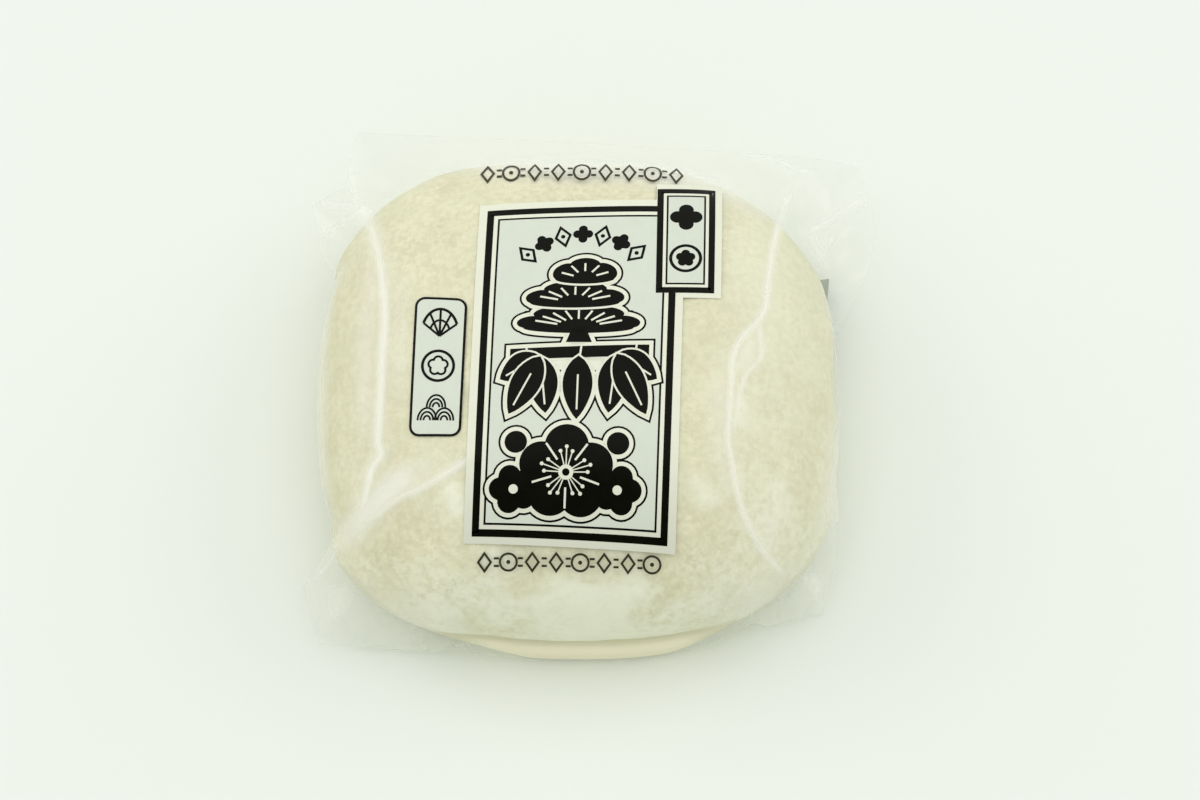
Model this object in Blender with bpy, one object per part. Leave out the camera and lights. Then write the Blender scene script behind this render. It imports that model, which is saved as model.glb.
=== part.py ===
"""A rice cake sweet sealed in clear film, lying flat with its printed side up.

Run it with: blender --background --python part.py

The sealed pack is one closed solid, the outer form of the taut film and the cake that fills it.
+X runs to the right across the front, +Y to the back, +Z up. The origin is the centre of the
flat underside. Plan angles are measured anticlockwise from +X.
"""

import math

import bpy
import numpy as np

MM = 0.001

# The cake: a rounded square in plan and a low dome from the side
CAKE_WIDTH = 70.0 * MM
CAKE_DEPTH = 67.4 * MM
CAKE_HEIGHT = 26.0 * MM
WIDEST_HEIGHT = 9.5 * MM
PLAN_POWER = 2.6
DOME_POWER = 2.3
BASE_SHARE = 0.86

# The soft lip that the cake has sagged into along the front of its base, and the crease above it
FOOT_ANGLE = math.radians(279)
FOOT_SPREAD = math.radians(34)
FOOT_FADE = math.radians(18)
FOOT_BASE_SHARE = 0.99
CREASE_HEIGHT = 4.2 * MM
CREASE_DEPTH = 0.7 * MM
CREASE_WIDTH = 1.5 * MM

# The film: how far it stands off the cake, how thick its pressed edges are, and how far a fold
# stands out from the cake before it has sunk from the cake's widest line to its own height
FILM_GAP = 0.5 * MM
EDGE_THICKNESS = 0.7 * MM
FOLD_SETTLES = 1.6 * MM

# Where the film is folded, anticlockwise: across, back and height above the table
FOLD_CORNERS = (
    (34.0, 5.0, 9.0),  # leaves the right side
    (36.2, 12.2, 6.0),
    (40.2, 20.5, 5.5),
    (41.4, 26.9, 6.0),  # right ear
    (39.6, 35.9, 6.0),  # back right corner
    (30.9, 37.0, 7.0),
    (3.0, 38.9, 7.0),
    (-30.9, 40.6, 7.0),  # back left corner
    (-32.6, 32.7, 6.5),
    (-37.1, 30.1, 6.0),  # left ear
    (-35.9, 23.8, 6.5),
    (-33.4, 17.6, 8.5),  # meets the left side
    (-33.4, -19.0, 6.0),  # leaves it again
    (-37.2, -24.3, 4.0),  # front left ear
    (-35.0, -31.8, 2.0),  # front left corner
    (-10.6, -33.5, 1.0),
    (22.3, -30.1, 1.2),
    (33.1, -27.8, 2.0),  # front right corner
    (35.0, -20.6, 6.0),
    (35.2, -15.5, 8.5),
)

# The two long folds that the taut film keeps over the cake's shoulders. Each bows inwards from
# its back end to its apex and out again to its front end: (across, back) for the three places,
# then the power of its bow behind and in front of the apex
SHOULDER_FOLDS = (
    ((-31.2, 30.0), (-26.4, 4.0), (-33.6, -20.5), 2.0, 2.2),
    ((29.8, 32.5), (20.7, -6.0), (32.6, -24.8), 1.4, 4.5),
)
FOLD_HEIGHT = 0.9 * MM
FOLD_HALF_WIDTH = 3.0 * MM
FOLD_FADE = 0.35

# The mesh
SPOKES = 132
DOME_RINGS = 20
UNDER_RINGS = 8
TANGENT_SAMPLES = 400
TINY = 1e-9
SHARP_EDGE = math.radians(40)

FILM_COLOUR = (0.80, 0.78, 0.62, 1.0)
FILM_ROUGHNESS = 0.2


def spoke_angles():
    """Evenly spread plan angles, with the nearest spoke moved onto each corner of the film."""
    angles = np.arange(SPOKES) * 2 * math.pi / SPOKES
    for x, y, _ in FOLD_CORNERS:
        corner = math.atan2(y, x) % (2 * math.pi)
        turn = np.abs((angles - corner + math.pi) % (2 * math.pi) - math.pi)
        angles[np.argmin(turn)] = corner
    return np.sort(angles)


def cake_reach(angles):
    """Distance from the middle to the cake's widest outline: |x/a|^n + |y/b|^n = 1."""
    across = np.abs(np.cos(angles)) / (CAKE_WIDTH / 2)
    along = np.abs(np.sin(angles)) / (CAKE_DEPTH / 2)
    return (across**PLAN_POWER + along**PLAN_POWER) ** (-1 / PLAN_POWER)


def fold_reach(angles):
    """Distance from the middle to the straight folds between the film's corners, and their height."""
    corners = np.array(FOLD_CORNERS) * MM
    starts = np.arctan2(corners[:, 1], corners[:, 0]) % (2 * math.pi)
    first = np.argmin(starts)
    corners = np.roll(corners, -first, axis=0)
    starts = np.roll(starts, -first)
    edge = (np.searchsorted(starts, angles, side="right") - 1) % len(corners)
    begin = corners[edge]
    step = corners[(edge + 1) % len(corners)] - begin
    ray = np.stack([np.cos(angles), np.sin(angles)], axis=1)
    across = ray[:, 0] * step[:, 1] - ray[:, 1] * step[:, 0]
    reach = (begin[:, 0] * step[:, 1] - begin[:, 1] * step[:, 0]) / across
    share = (begin[:, 0] * ray[:, 1] - begin[:, 1] * ray[:, 0]) / across
    return reach, begin[:, 2] + share * step[:, 2]


def smooth_step(share):
    """Rises from 0 to 1 with level ends."""
    share = np.clip(share, 0, 1)
    return share**2 * (3 - 2 * share)


def foot_window(angles):
    """1 along the front lip, falling smoothly to 0 past its ends."""
    turn = np.abs((angles - FOOT_ANGLE + math.pi) % (2 * math.pi) - math.pi)
    return 1 - smooth_step((turn - FOOT_SPREAD) / FOOT_FADE)


def dome_height(share):
    """Height of the film lying on the dome, at this share of the widest outline."""
    rise = CAKE_HEIGHT + FILM_GAP - WIDEST_HEIGHT
    return WIDEST_HEIGHT + rise * (1 - np.clip(share, 0, 1) ** DOME_POWER) ** (1 / DOME_POWER)


def under_height(share):
    """Height of the lower side, a quarter ellipse from the base's edge, 0, to the widest line, 1."""
    return (WIDEST_HEIGHT - EDGE_THICKNESS) * (1 - np.sqrt(1 - np.clip(share, 0, 1) ** 2))


def taut_run(reach, height, radii, heights, side):
    """Straight film from the edge to the curved section of the cake: the steepest slope that any
    point of the section gives, and the radius of that point. side is 1 above the edge, -1 below."""
    slopes = side * (heights - height[:, None]) / (reach[:, None] - radii + TINY)
    meeting = np.argmax(slopes, axis=1)
    rows = np.arange(len(meeting))
    return side * slopes[rows, meeting], radii[rows, meeting]


def shoulder_folds(x, y):
    """Height of the two long folds: a straight-sided ridge along each bowed line."""
    height = np.zeros_like(x)
    for back_end, apex, front_end, back_power, front_power in SHOULDER_FOLDS:
        behind = y > apex[1] * MM
        end_x = np.where(behind, back_end[0], front_end[0]) * MM
        end_y = np.where(behind, back_end[1], front_end[1]) * MM
        power = np.where(behind, back_power, front_power)
        along = np.clip((y - apex[1] * MM) / (end_y - apex[1] * MM), 0, 1)
        line = apex[0] * MM + (end_x - apex[0] * MM) * along**power
        crest = np.clip(1 - np.abs(x - line) / FOLD_HALF_WIDTH, 0, 1)
        height += FOLD_HEIGHT * crest * smooth_step((1 - along) / FOLD_FADE)
    return height


def film_rings():
    """The film's outer form as rings of points, from the top of the dome down to the base's edge."""
    angles = spoke_angles()
    hug = cake_reach(angles) + FILM_GAP
    folded, fold_height = fold_reach(angles)
    loose = folded > hug
    reach = np.where(loose, folded, hug)
    settled = smooth_step((folded - hug) / FOLD_SETTLES)
    height = WIDEST_HEIGHT + (fold_height - WIDEST_HEIGHT) * settled

    foot = foot_window(angles)
    base = hug * (BASE_SHARE + (FOOT_BASE_SHARE - BASE_SHARE) * foot)
    low = height - EDGE_THICKNESS
    share = np.tile(np.linspace(0, 1, TANGENT_SAMPLES), (len(angles), 1))
    dome_radii = hug[:, None] * share
    under_radii = base[:, None] + (hug - base)[:, None] * share
    rise, meets_dome = taut_run(reach, height, dome_radii, dome_height(share), 1)
    drop, meets_under = taut_run(reach, low, under_radii, under_height(share), -1)

    rings = []
    for k in range(1, DOME_RINGS + 1):
        radius = reach * math.sin(math.pi / 2 * k / DOME_RINGS) ** (2 / DOME_POWER)
        taut = height + rise * (reach - radius)
        z = np.where(loose & (radius > meets_dome), taut, dome_height(radius / hug))
        rings.append((radius, z))
    for k in range(UNDER_RINGS):
        turn = math.pi / 2 * (1 - k / (UNDER_RINGS - 1))
        radius = base + (reach - base) * math.sin(turn)
        taut = low + drop * (reach - radius)
        curved = under_height((radius - base) / (hug - base))
        z = np.where(loose & (radius > meets_under), taut, curved)
        crease = CREASE_DEPTH * foot * np.exp(-(((z - CREASE_HEIGHT) / CREASE_WIDTH) ** 2))
        rings.append((radius - crease, z))

    points = []
    for number, (radius, z) in enumerate(rings):
        x = radius * np.cos(angles)
        y = radius * np.sin(angles)
        if number < DOME_RINGS - 1:
            z = z + shoulder_folds(x, y)
        points.append(np.stack([x, y, z], axis=1))
    return np.array(points)


def sealed_pack():
    """One closed mesh: a fan round the top, bands between the rings and one flat face below."""
    rings = film_rings()
    top = np.array([[0, 0, CAKE_HEIGHT + FILM_GAP]])
    vertices = np.concatenate([top, rings.reshape(-1, 3)])
    count = rings.shape[1]
    following = np.roll(np.arange(count), -1)
    faces = [(0, 1 + i, 1 + following[i]) for i in range(count)]
    for ring in range(len(rings) - 1):
        inner = 1 + ring * count
        outer = inner + count
        for i in range(count):
            j = following[i]
            faces.append((inner + i, outer + i, outer + j, inner + j))
    last = 1 + (len(rings) - 1) * count
    faces.append(tuple(last + i for i in reversed(range(count))))

    mesh = bpy.data.meshes.new("wrapped_daifuku")
    mesh.from_pydata(vertices.tolist(), [], [tuple(int(i) for i in face) for face in faces])
    mesh.shade_smooth()
    mesh.set_sharp_from_angle(angle=SHARP_EDGE)
    pack = bpy.data.objects.new("wrapped_daifuku", mesh)
    bpy.context.collection.objects.link(pack)
    return pack


def film_material():
    """Clear glossy film over the pale cake."""
    material = bpy.data.materials.new("film_over_cake")
    material.use_nodes = True
    shader = material.node_tree.nodes["Principled BSDF"]
    shader.inputs["Base Color"].default_value = FILM_COLOUR
    shader.inputs["Roughness"].default_value = FILM_ROUGHNESS
    shader.inputs["Metallic"].default_value = 0.0
    return material


def main():
    for thing in list(bpy.data.objects):
        bpy.data.objects.remove(thing, do_unlink=True)
    pack = sealed_pack()
    pack.data.materials.append(film_material())


main()
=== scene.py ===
"""A rice cake sweet sealed in clear printed film: its looks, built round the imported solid.

The script is laid out as a Blender add-on and is run as a script. +X runs to the right, +Y to
the back and +Z up, and the origin is the centre of the underside. Sizes inside the functions
and the tables are millimetres, and a finished mesh is in metres.
"""

import math

import bmesh
import bpy
import numpy as np
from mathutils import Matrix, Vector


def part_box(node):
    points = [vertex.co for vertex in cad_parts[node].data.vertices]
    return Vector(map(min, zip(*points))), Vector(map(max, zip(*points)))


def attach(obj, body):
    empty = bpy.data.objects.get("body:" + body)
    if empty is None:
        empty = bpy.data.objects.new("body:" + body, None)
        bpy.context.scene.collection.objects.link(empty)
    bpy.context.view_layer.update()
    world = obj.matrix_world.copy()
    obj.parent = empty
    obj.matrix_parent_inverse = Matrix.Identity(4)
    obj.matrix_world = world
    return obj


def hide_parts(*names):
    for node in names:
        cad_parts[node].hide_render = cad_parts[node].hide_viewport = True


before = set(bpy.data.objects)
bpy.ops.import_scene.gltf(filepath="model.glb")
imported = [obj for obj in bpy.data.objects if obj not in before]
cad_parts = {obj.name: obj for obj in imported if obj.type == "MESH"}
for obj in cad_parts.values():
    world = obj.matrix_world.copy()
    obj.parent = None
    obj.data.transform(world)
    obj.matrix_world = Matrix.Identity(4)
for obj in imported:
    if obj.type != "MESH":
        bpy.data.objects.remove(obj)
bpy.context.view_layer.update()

bl_info = {
    "name": "Wrapped daifuku",
    "version": (1, 0, 0),
    "blender": (4, 5, 0),
    "location": "3D View > Sidebar > Daifuku",
    "description": "Builds a rice cake sweet in clear printed film",
    "category": "Object",
}

PACK = "wrapped_daifuku"
MM = 0.001
TURN = 2 * math.pi
TINY = 1e-9

# The cake's form: a rounded square in plan and a low dome from the side
WIDEST_HEIGHT = 9.5
PLAN_POWER = 2.6
DOME_POWER = 2.3
BASE_SHARE = 0.86

# The soft lip along the front of its base
FOOT_ANGLE = math.radians(279)
FOOT_SPREAD = math.radians(34)
FOOT_FADE = math.radians(18)
FOOT_BASE_SHARE = 0.99

# The film's pressed edges, its level base and how a fold settles from the cake's widest line
PRESSED_EDGE = 0.25
BASE_LEVEL = 0.3
UNDER_RISE = WIDEST_HEIGHT - PRESSED_EDGE - BASE_LEVEL
FOLD_SETTLES = 1.6
FOLD_CORNERS = (
    (34.0, 5.0, 9.0),  # leaves the right side
    (36.2, 12.2, 6.0),
    (40.2, 20.5, 5.5),
    (41.4, 26.9, 6.0),  # right ear
    (39.6, 35.9, 6.0),  # back right corner
    (30.9, 37.0, 7.0),
    (3.0, 38.9, 7.0),
    (-30.9, 40.6, 7.0),  # back left corner
    (-32.6, 32.7, 6.5),
    (-37.1, 30.1, 6.0),  # left ear
    (-35.9, 23.8, 6.5),
    (-33.4, 17.6, 8.5),  # meets the left side
    (-33.4, -19.0, 6.0),  # leaves it again
    (-37.2, -24.3, 4.0),  # front left ear
    (-35.0, -31.8, 2.0),  # front left corner
    (-10.6, -33.5, 1.0),
    (22.3, -30.1, 1.2),
    (33.1, -27.8, 2.0),  # front right corner
    (35.0, -20.6, 6.0),
    (35.2, -15.5, 8.5),
)
TABLE_ANGLES = 5760
SHARP_EDGE = math.radians(40)
TANGENT_SAMPLES = 300

# Creases in the film: (across, back) along each, its height, half its width, how white it is, the
# white partly a painted highlight along the crease
CREASES = (
    # the long fold over the left shoulder, and its end in the front left ear
    (((-30.4, 28.5), (-29.1, 25.8), (-27.9, 21.9), (-26.8, 17.1), (-26.2, 12.8), (-25.8, 8.2),
      (-26.0, 2.4), (-26.2, -3.3), (-26.4, -9.2), (-26.0, -11.2), (-27.3, -12.9), (-27.9, -15.7),
      (-29.0, -18.9), (-30.5, -20.4), (-32.0, -21.2)), 0.42, 2.9, 0.96),
    # its branch towards the print
    (((-13.0, -12.0), (-15.2, -13.3), (-17.7, -14.7), (-20.5, -16.1), (-23.2, -16.9),
      (-25.0, -17.9), (-27.0, -19.1), (-28.8, -19.7), (-30.5, -20.3)), 0.3, 1.9, 0.85),
    # the long fold over the right shoulder, and its end in the front right ear
    (((30.6, 32.9), (29.4, 29.9), (27.8, 24.8), (26.7, 20.5), (26.0, 16.5), (25.5, 13.0),
      (25.2, 9.7), (24.1, 7.2), (22.4, 5.2), (21.3, 3.5), (20.6, 1.5), (20.4, -1.4),
      (20.2, -4.2), (20.0, -7.4), (19.9, -10.0), (20.4, -13.1), (21.1, -16.8), (22.1, -19.5),
      (23.2, -21.6), (24.8, -23.6), (26.7, -25.0), (28.9, -25.3), (32.1, -25.1)), 0.32, 1.5, 0.80),
    # its side loop
    (((24.4, 8.0), (24.2, 5.6), (24.5, 2.7), (23.7, 1.1), (22.4, -0.6), (21.5, -3.2),
      (20.9, -6.9), (20.5, -10.0)), 0.3, 1.1, 0.50),
    # the right ear: a fold to its tip, a short one beside the cake, one along its back
    (((40.2, 31.2), (36.9, 28.0), (33.9, 24.8), (31.1, 22.8)), 0.35, 1.4, 0.80),
    (((35.3, 23.6), (33.6, 20.6), (32.8, 17.4)), 0.25, 1.2, 0.55),
    (((23.0, 37.0), (26.0, 36.2), (28.7, 35.1), (30.7, 33.6), (33.4, 34.6)), 0.25, 1.2, 0.60),
    # the left ear's short folds, which gather in the left shoulder's back end
    (((-36.0, 30.0), (-33.4, 28.9), (-30.6, 28.0)), 0.25, 1.2, 0.50),
    (((-31.8, 34.5), (-31.1, 31.4), (-30.2, 28.4)), 0.3, 1.2, 0.55),
    (((-35.6, 24.9), (-32.8, 25.3), (-30.2, 26.9)), 0.25, 1.2, 0.45),
    # the front ears
    (((-36.2, -24.6), (-33.6, -22.9), (-31.9, -21.3)), 0.25, 1.2, 0.55),
    (((31.9, -25.0), (31.5, -22.6), (32.0, -20.0)), 0.3, 0.8, 0.30),
)

# Where the film is milky with fine creases: (across, back) along the middle of each band, half its
# width, how white it is; the white is partly the film's own and partly a painted highlight
VEILS = (
    (((-16.5, 33.0), (-10.7, 32.0), (-2.5, 31.0), (5.7, 30.6), (9.8, 30.3), (13.9, 29.6),
      (17.9, 28.9), (22.0, 27.4), (25.5, 25.8)), 2.2, 0.95),
    (((-27.2, 27.1), (-23.0, 29.3), (-19.0, 30.9)), 1.3, 0.20),
    (((-30.3, 28.0), (-29.2, 26.0), (-28.2, 22.9)), 1.1, 0.90),
    (((-27.9, 21.0), (-27.9, 12.0), (-28.3, 3.2), (-28.4, -3.8), (-28.0, -9.0)), 1.4, 0.34),
    (((-24.6, 16.0), (-23.9, 9.0), (-24.0, 2.0), (-24.0, -5.0)), 1.4, 0.22),
    (((-33.0, 19.0), (-34.4, 10.0), (-34.7, 0.0), (-34.4, -9.0), (-33.2, -17.0)), 0.9, 0.45),
    (((-20.5, -13.6), (-23.6, -15.0), (-26.7, -17.2), (-29.9, -19.8), (-31.8, -21.1)), 1.8, 0.95),
    # the two bands at the front corners: milky film that also paints light into the cake's shadow
    # on the floor
    (((-35.0, -23.5), (-32.0, -27.6), (-26.0, -31.0), (-18.0, -32.8)), 3.4, 0.48),
    (((19.5, -30.2), (25.5, -28.8), (30.0, -26.6), (33.6, -22.5)), 3.0, 0.48),
    (((19.3, 1.0), (19.0, -4.0), (19.1, -9.0), (19.8, -14.5), (21.0, -19.4)), 1.8, 0.26),
    (((23.4, 5.2), (22.6, 2.6), (22.0, -1.0)), 1.3, 0.40),
    (((25.7, -18.9), (25.3, -21.5), (25.2, -23.8)), 1.4, 0.30),
    (((35.4, -3.0), (35.0, -9.0), (34.2, -15.0), (32.6, -20.0)), 1.4, 0.60),
    (((31.0, 23.0), (32.6, 20.6), (33.6, 18.6)), 1.6, 0.60),
    (((30.6, 32.0), (33.0, 28.5), (33.6, 24.6)), 3.0, 0.30),
    (((31.0, -24.8), (32.8, -25.2)), 0.8, 0.50),
)

# Damp smudges on the cake and thick patches of flour, in the same form
DAMP_PATCHES = (
    (((-31.8, -18.0), (-30.1, -21.5), (-27.4, -25.5), (-24.4, -28.5)), 2.6, 0.72),
    (((-24.5, -19.5), (-25.5, -22.5), (-23.6, -26.0)), 4.0, 0.80),
    (((-24.0, -29.6), (-19.5, -28.8), (-14.4, -27.5)), 1.0, 1.00),
    (((-12.8, -27.8), (-7.5, -28.9), (-1.2, -28.2)), 1.0, 0.55),
    (((11.9, -21.9), (14.8, -24.5), (17.7, -25.9)), 2.4, 0.95),
    (((18.1, -23.4), (20.8, -22.0), (23.0, -20.0)), 2.2, 0.80),
    (((8.3, -30.5), (12.9, -30.0), (16.8, -28.7)), 1.4, 0.40),
    (((14.7, 12.3), (15.0, 7.9), (16.3, 3.0), (16.9, -4.6)), 2.4, 0.45),
    (((25.6, -1.0), (27.6, -6.2), (28.2, -11.5)), 2.6, 0.60),
    (((22.8, 1.2), (25.0, -3.0), (24.4, -7.5)), 2.0, 0.50),
    (((-31.4, 7.4), (-31.9, 0.4), (-32.1, -6.5)), 2.2, 0.35),
)
FLOUR_PATCHES = (
    (((-17.4, -15.3), (-16.1, -18.0), (-15.2, -20.5)), 1.9, 0.85),
    (((-20.0, -31.2), (-14.9, -31.8)), 1.6, 0.50),
    (((-7.6, -30.6), (-1.0, -31.5), (5.6, -31.3)), 2.4, 0.50),
    (((14.8, -14.4), (16.4, -16.9), (18.1, -19.4)), 2.0, 0.70),
    (((20.8, -3.2), (21.8, -5.8), (22.5, -8.4)), 1.4, 0.50),
    (((25.6, -13.7), (27.1, -17.1), (26.3, -20.7)), 2.0, 0.60),
)

# How much further than a plain rounded square the cake has spread: plan angle in degrees, mm
FULLNESS = (
    (0, -0.5), (8, -0.5), (17, 0.1), (26, 0.3), (36, -0.3), (50, -0.5), (68, -0.2), (84, -0.5),
    (96, -0.5), (108, 0.2), (120, 1.0), (150, 1.1), (159, 0.4), (168, 0.0), (186, 0.0), (194, 0.3),
    (204, 1.0), (215, 1.8), (226, 1.5), (236, 0.8), (248, 0.0), (300, 0.0), (312, 0.3), (324, 1.0),
    (338, 1.0), (347, 0.4), (354, 0.0),
)


def length_property(name, description, default):
    return bpy.props.FloatProperty(
        name=name, description=description, default=default, unit="LENGTH", subtype="DISTANCE")


class DaifukuSizes(bpy.types.PropertyGroup):
    """Sizes of the sweet and its pack."""

    cake_width: length_property("Cake width", "The cake's widest line from left to right", 0.0707)
    cake_depth: length_property("Cake depth", "The cake's widest line from front to back", 0.0681)
    cake_height: length_property(
        "Cake height", "From the table to the top of the cake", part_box(PACK)[1].z - 0.00015)
    film_gap: length_property("Film gap", "How far the taut film stands off the cake", 0.00015)
    lump_height: length_property("Lump height", "How far the cake's lumps rise and fall", 0.00010)
    wrinkle_height: length_property(
        "Wrinkle height", "How far the slack film's pleats rise and fall", 0.00018)


def colour_property(name, description, default):
    return bpy.props.FloatVectorProperty(
        name=name, description=description, default=default, subtype="COLOR", min=0, max=1)


class DaifukuColours(bpy.types.PropertyGroup):
    """Colours of the sweet, its film and its print."""

    rice: colour_property("Rice cake", "Bare cream rice cake", (0.748, 0.740, 0.506))
    flour: colour_property("Flour", "Where the dusting flour lies thick", (0.865, 0.895, 0.73))
    crease_flour_and_highlight: colour_property("Dust", "Fine flour that the film's creases hold", (0.94, 0.935, 0.82))
    damp: colour_property("Damp mottles", "Olive, where the flour is damp", (0.63, 0.61, 0.395))
    blush: colour_property("Blush", "Warm tone of the smooth lip", (0.86, 0.81, 0.575))
    crease_white_and_highlight: colour_property("Crease white", "The film along its creases", (0.88, 0.89, 0.80))
    print_white: colour_property("Print white", "White ink", (0.765, 0.785, 0.625))
    print_tint: colour_property("Print tint", "Pale ink inside the frames", (0.652, 0.702, 0.584))
    ink: colour_property("Ink", "Black ink", (0.0034, 0.0034, 0.0016))
    line_ink: colour_property("Line ink", "The thin rows' dark olive ink", (0.035, 0.030, 0.012))
    label_grey: colour_property("Back block", "Printed on the underside", (0.42, 0.46, 0.41))
    label_line: colour_property("Back lines", "The lines printed on it", (0.10, 0.11, 0.10))
    floor: colour_property("Floor", "The pale table", (0.83, 0.87, 0.79))


# Forms


def smooth_step(share):
    """Rises from 0 to 1 with level ends: 3 s^2 - 2 s^3."""
    share = np.clip(share, 0, 1)
    return share**2 * (3 - 2 * share)


def soft_noise(points, wavelength, seed, waves=24):
    """Smooth lumps about 1 high: the mean of cosines that run in seeded random directions."""
    random = np.random.RandomState(seed)
    directions = random.normal(size=(waves, points.shape[-1]))
    directions /= np.linalg.norm(directions, axis=1)[:, None]
    directions *= TURN / wavelength * random.uniform(0.7, 1.3, (waves, 1))
    phases = random.uniform(0, TURN, waves)
    return np.cos(points @ directions.T + phases).sum(axis=-1) * math.sqrt(2 / waves)


def folded_noise(points, wavelength, seed, waves=5):
    """Flat facets between straight folds: the mean of triangle waves in seeded directions."""
    random = np.random.RandomState(seed)
    turns = random.uniform(0, TURN, waves)
    lengths = wavelength * random.uniform(0.6, 1.5, waves)
    directions = np.stack([np.cos(turns), np.sin(turns)]) / lengths
    phases = random.uniform(0, 1, waves)
    zigzag = 4 * np.abs((points @ directions + phases) % 1 - 0.5) - 1
    return zigzag.sum(axis=-1) * math.sqrt(3 / waves)


def smooth_path(points, spacing):
    """A curve through the points, Catmull-Rom between them, at about this spacing."""
    points = np.asarray(points, float)
    ends = np.concatenate([[2 * points[0] - points[1]], points, [2 * points[-1] - points[-2]]])
    pieces = []
    for a, b, c, d in zip(ends, ends[1:], ends[2:], ends[3:]):
        count = max(2, math.ceil(np.linalg.norm(c - b) / spacing))
        t = np.linspace(0, 1, count, endpoint=False)[:, None]
        curve = 2 * b + (c - a) * t + (2 * a - 5 * b + 4 * c - d) * t**2
        pieces.append((curve + (3 * b - a - 3 * c + d) * t**3) / 2)
    return np.concatenate(pieces + [points[-1:]])


def line_distance(x, y, path):
    """Distance from plan points to a path, and the share of its length at the nearest place."""
    lengths = np.linalg.norm(np.diff(path, axis=0), axis=1)
    starts = np.concatenate([[0], np.cumsum(lengths)])
    nearest = np.full(x.shape, np.inf)
    share = np.zeros(x.shape)
    for begin, end, length, start in zip(path, path[1:], lengths, starts):
        step = (end - begin) / length
        along = np.clip((x - begin[0]) * step[0] + (y - begin[1]) * step[1], 0, length)
        gap = np.hypot(x - begin[0] - along * step[0], y - begin[1] - along * step[1])
        closer = gap < nearest
        nearest = np.where(closer, gap, nearest)
        share = np.where(closer, (start + along) / starts[-1], share)
    return nearest, share


def soft_bands(bands, x, y):
    """How white plan points are in broad bands: exp(-(gap / half width)^2) across each band, and
    fainter towards its ends."""
    clear = np.ones_like(x)
    for path, half_width, whiteness in bands:
        gap, share = line_distance(x, y, smooth_path(path, 1.0))
        ends = 0.35 + 0.65 * smooth_step(np.minimum(share, 1 - share) / 0.25)
        clear *= 1 - whiteness * ends * np.exp(-((gap / half_width) ** 2))
    return 1 - clear


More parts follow.
